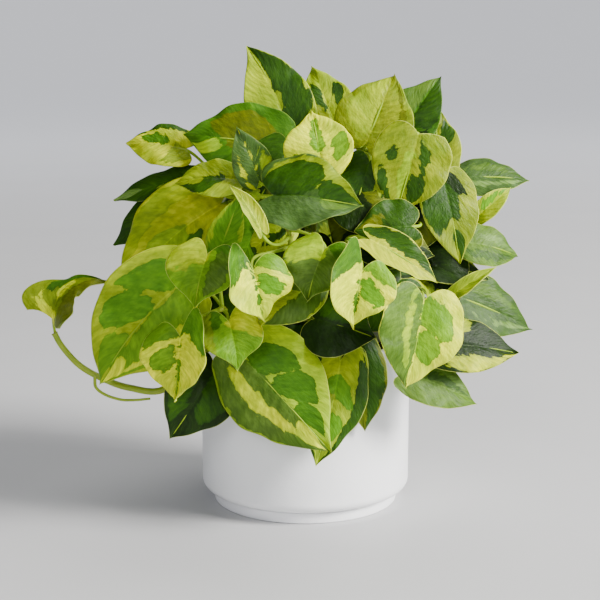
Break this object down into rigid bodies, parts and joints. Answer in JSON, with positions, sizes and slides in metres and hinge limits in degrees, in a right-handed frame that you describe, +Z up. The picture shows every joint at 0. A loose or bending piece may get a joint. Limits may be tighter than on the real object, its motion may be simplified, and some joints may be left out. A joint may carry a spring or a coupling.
{
  "type": "potted pothos plant",
  "caption": "Leafy golden pothos with heart-shaped variegated leaves on trailing vines, planted in soil in a plain white cylinder planter with a recessed foot.",
  "frame": {"origin": "centre of the planter's flat underside, where it stands on a shelf or table", "axes": "+Z up along the planter's axis; -Y is the side the plant is seen from, with its hanging front leaves; the trailing vine reaches out along -X"},
  "size_m": [0.3675, 0.2544, 0.339],
  "materials": {
    "white_glaze": "satin",
    "potting_soil": "matte",
    "vine_green": "satin",
    "leaf_variegated": "satin"
  },
  "bodies": {
    "root": {"planter": "white_glaze", "soil": "potting_soil", "vine_top": "vine_green", "vine_left": "vine_green", "vine_right": "vine_green", "vine_front": "vine_green", "vine_front_left": "vine_green", "vine_front_right": "vine_green", "vine_back": "vine_green", "vine_trailing": "vine_green", "vine_side_shoot": "vine_green", "leaf_front_large": "leaf_variegated", "leaf_left_large": "leaf_variegated", "leaf_front_mottled": "leaf_variegated", "leaf_front_strip": "leaf_variegated", "leaf_under_left": "leaf_variegated", "leaf_heart_left": "leaf_variegated", "leaf_heart_middle": "leaf_variegated", "leaf_heart_right": "leaf_variegated", "leaf_front_upper_left": "leaf_variegated", "leaf_front_lower_left": "leaf_variegated", "leaf_front_upper_right": "leaf_variegated", "leaf_front_pale": "leaf_variegated", "leaf_dark_centre": "leaf_variegated", "leaf_right_round": "leaf_variegated", "leaf_right_low": "leaf_variegated", "leaf_right_dark": "leaf_variegated", "leaf_right_grey": "leaf_variegated", "leaf_right_rolled": "leaf_variegated", "leaf_right_olive": "leaf_variegated", "leaf_right_mid": "leaf_variegated", "leaf_right_high": "leaf_variegated", "leaf_right_folded": "leaf_variegated", "leaf_centre_hanging": "leaf_variegated", "leaf_centre_side": "leaf_variegated", "leaf_centre_olive": "leaf_variegated", "leaf_centre_rolled": "leaf_variegated", "leaf_top_right_round": "leaf_variegated", "leaf_top_right_grey": "leaf_variegated", "leaf_top_yellow": "leaf_variegated", "leaf_top_back": "leaf_variegated", "leaf_pale_heart": "leaf_variegated", "leaf_glossy_centre": "leaf_variegated", "leaf_upright_grey": "leaf_variegated", "leaf_curled_pale": "leaf_variegated", "leaf_spire": "leaf_variegated", "leaf_left_top": "leaf_variegated", "leaf_left_tip": "leaf_variegated", "leaf_left_fold": "leaf_variegated", "leaf_left_olive": "leaf_variegated", "leaf_left_behind": "leaf_variegated", "leaf_left_dark": "leaf_variegated", "leaf_left_upright": "leaf_variegated", "leaf_trailing": "leaf_variegated", "leaf_back_centre": "leaf_variegated", "leaf_back_left": "leaf_variegated", "leaf_back_right": "leaf_variegated", "leaf_back_low": "leaf_variegated", "leaf_back_high": "leaf_variegated", "leaf_side_right": "leaf_variegated"}
  },
  "joints": []
}
